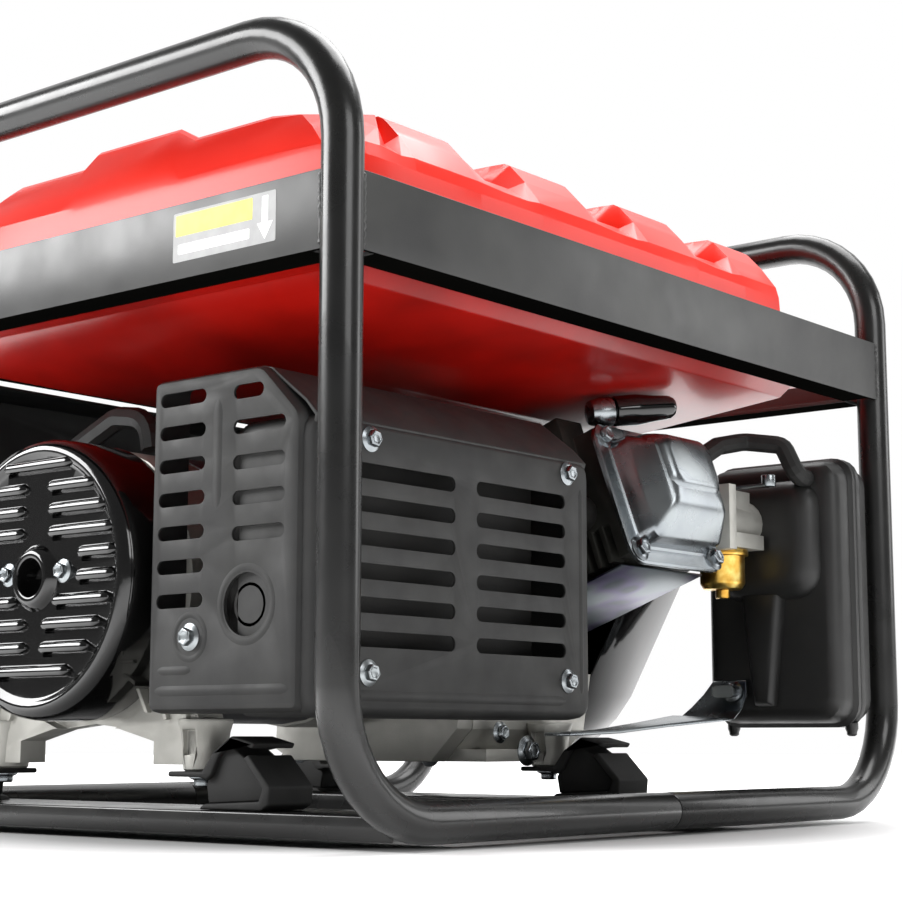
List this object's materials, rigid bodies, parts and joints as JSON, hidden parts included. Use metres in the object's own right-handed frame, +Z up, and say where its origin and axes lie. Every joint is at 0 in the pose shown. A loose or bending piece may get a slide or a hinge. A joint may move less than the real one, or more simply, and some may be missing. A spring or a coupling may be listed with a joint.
{
  "type": "portable generator",
  "caption": "Open-frame portable petrol generator with a pressed fuel tank, an inclined single-cylinder engine, an alternator, a caged muffler and a control panel.",
  "frame": {"origin": "middle of the footprint, on the surface it stands on", "axes": "+X towards the alternator end along the crankshaft, +Y towards the muffler and carburettor side, +Z up"},
  "size_m": [0.589, 0.438, 0.4332],
  "materials": {
    "frame_paint": "satin black paint on steel tube and sheet",
    "rail_paint": "satin dark grey paint",
    "tank_paint": "glossy red paint",
    "guard_paint": "matt charcoal heat-resistant paint",
    "gloss_black": "gloss black paint",
    "cast_aluminium": "as-cast aluminium",
    "bright_zinc": "bright zinc plating",
    "yellow_zinc": "yellow passivated zinc plating",
    "black_plastic": "fine-grained moulded plastic",
    "red_plastic": "glossy moulded plastic",
    "rubber": "black moulded rubber",
    "steel": "bare steel",
    "copper": "varnished copper winding",
    "foam": "open-cell filter foam"
  },
  "bodies": {
    "generator": {"frame_hoop_alternator_end": "frame_paint", "frame_hoop_engine_end": "frame_paint", "tank_rail_rear": "rail_paint", "tank_rail_front": "rail_paint", "tank_rail_alternator_end": "rail_paint", "tank_rail_engine_end": "rail_paint", "crossmember_alternator": "frame_paint", "crossmember_engine": "frame_paint", "rubber_mount_alternator_rear": "rubber", "rubber_mount_alternator_front": "rubber", "rubber_mount_engine_rear": "rubber", "rubber_mount_engine_front": "rubber", "fuel_tank_upper_shell": "tank_paint", "fuel_tank_lower_shell": "tank_paint", "muffler_guard_side": "guard_paint", "muffler_guard_end": "guard_paint", "muffler_body": "steel", "exhaust_pipe": "steel", "crankcase": "cast_aluminium", "crankcase_side_cover": "cast_aluminium", "cylinder_barrel": "cast_aluminium", "cylinder_head": "cast_aluminium", "valve_cover": "bright_zinc", "spark_plug": "bright_zinc", "spark_plug_boot": "rubber", "cylinder_baffle": "bright_zinc", "fan_housing": "gloss_black", "recoil_housing": "gloss_black", "carburettor_body": "cast_aluminium", "float_bowl": "yellow_zinc", "air_cleaner_case": "black_plastic", "air_cleaner_cover": "black_plastic", "filter_element": "foam", "breather_hose": "rubber", "support_strap": "bright_zinc", "fuel_valve_body": "black_plastic", "alternator_front_bracket": "cast_aluminium", "stator_core": "steel", "stator_winding": "copper", "alternator_end_bracket": "cast_aluminium", "alternator_end_cover": "gloss_black", "alternator_conduit": "black_plastic", "control_panel": "frame_paint", "socket_1": "black_plastic", "socket_2": "black_plastic"},
    "crank_train": {"crankshaft": "steel", "flywheel": "cast_aluminium", "alternator_fan": "black_plastic", "rotor": "steel"},
    "piston": {"piston": "cast_aluminium"},
    "fuel_cap": {"fuel_cap": "black_plastic"},
    "fuel_valve_lever": {"fuel_valve_lever": "red_plastic"},
    "choke_lever": {"choke_lever": "steel"},
    "pull_handle": {"pull_handle": "black_plastic"},
    "recoil_reel": {"recoil_reel": "black_plastic"},
    "oil_dipstick": {"oil_dipstick": "black_plastic"},
    "socket_lid_1": {"socket_lid_1": "black_plastic"},
    "socket_lid_2": {"socket_lid_2": "black_plastic"},
    "breaker_button": {"breaker_button": "red_plastic"},
    "engine_switch": {"engine_switch": "red_plastic"}
  },
  "joints": [
    {"name": "crankshaft_spin", "type": "hinge", "parent": "generator", "child": "crank_train", "pos_m": [0, -0.048, 0.147], "axis": [1, 0, 0], "continuous": true},
    {"name": "piston_stroke", "type": "slide", "parent": "generator", "child": "piston", "axis": [0, -0.9397, -0.342], "range_m": [0, 0.054]},
    {"name": "fuel_cap_turn", "type": "hinge", "parent": "generator", "child": "fuel_cap", "pos_m": [0.03, 0, 0.412], "axis": [0, 0, 1], "range_deg": [0, 90]},
    {"name": "fuel_valve_turn", "type": "hinge", "parent": "generator", "child": "fuel_valve_lever", "pos_m": [-0.16, 0.06, 0.256], "axis": [0, 0, 1], "range_deg": [0, 90]},
    {"name": "choke_turn", "type": "hinge", "parent": "generator", "child": "choke_lever", "pos_m": [-0.182, 0.145, 0.229], "axis": [0, 0, 1], "range_deg": [-60, 0]},
    {"name": "pull_handle_slide", "type": "slide", "parent": "generator", "child": "pull_handle", "axis": [0, -1, 0], "range_m": [0, 0.7], "stiffness_N_per_m": 15},
    {"name": "recoil_reel_spin", "type": "hinge", "parent": "generator", "child": "recoil_reel", "pos_m": [-0.236, -0.048, 0.147], "axis": [1, 0, 0], "range_deg": [0, 900]},
    {"name": "oil_dipstick_turn", "type": "hinge", "parent": "generator", "child": "oil_dipstick", "pos_m": [-0.108, -0.13, 0.075], "axis": [0, -1, 0], "range_deg": [0, 720]},
    {"name": "socket_lid_1_swing", "type": "hinge", "parent": "generator", "child": "socket_lid_1", "pos_m": [0.15, -0.215, 0.2435], "axis": [1, 0, 0], "range_deg": [-110, 0]},
    {"name": "socket_lid_2_swing", "type": "hinge", "parent": "generator", "child": "socket_lid_2", "pos_m": [0.08, -0.215, 0.2435], "axis": [1, 0, 0], "range_deg": [-110, 0]},
    {"name": "breaker_button_press", "type": "slide", "parent": "generator", "child": "breaker_button", "axis": [0, 1, 0], "range_m": [0, 0.003], "stiffness_N_per_m": 400},
    {"name": "engine_switch_rock", "type": "hinge", "parent": "generator", "child": "engine_switch", "pos_m": [-0.15, -0.206, 0.235], "axis": [1, 0, 0], "range_deg": [-12, 12]}
  ],
  "couplings": [
    {"joint": "recoil_reel_spin", "follows": "pull_handle_slide", "rad_per_m": 21.739}
  ]
}
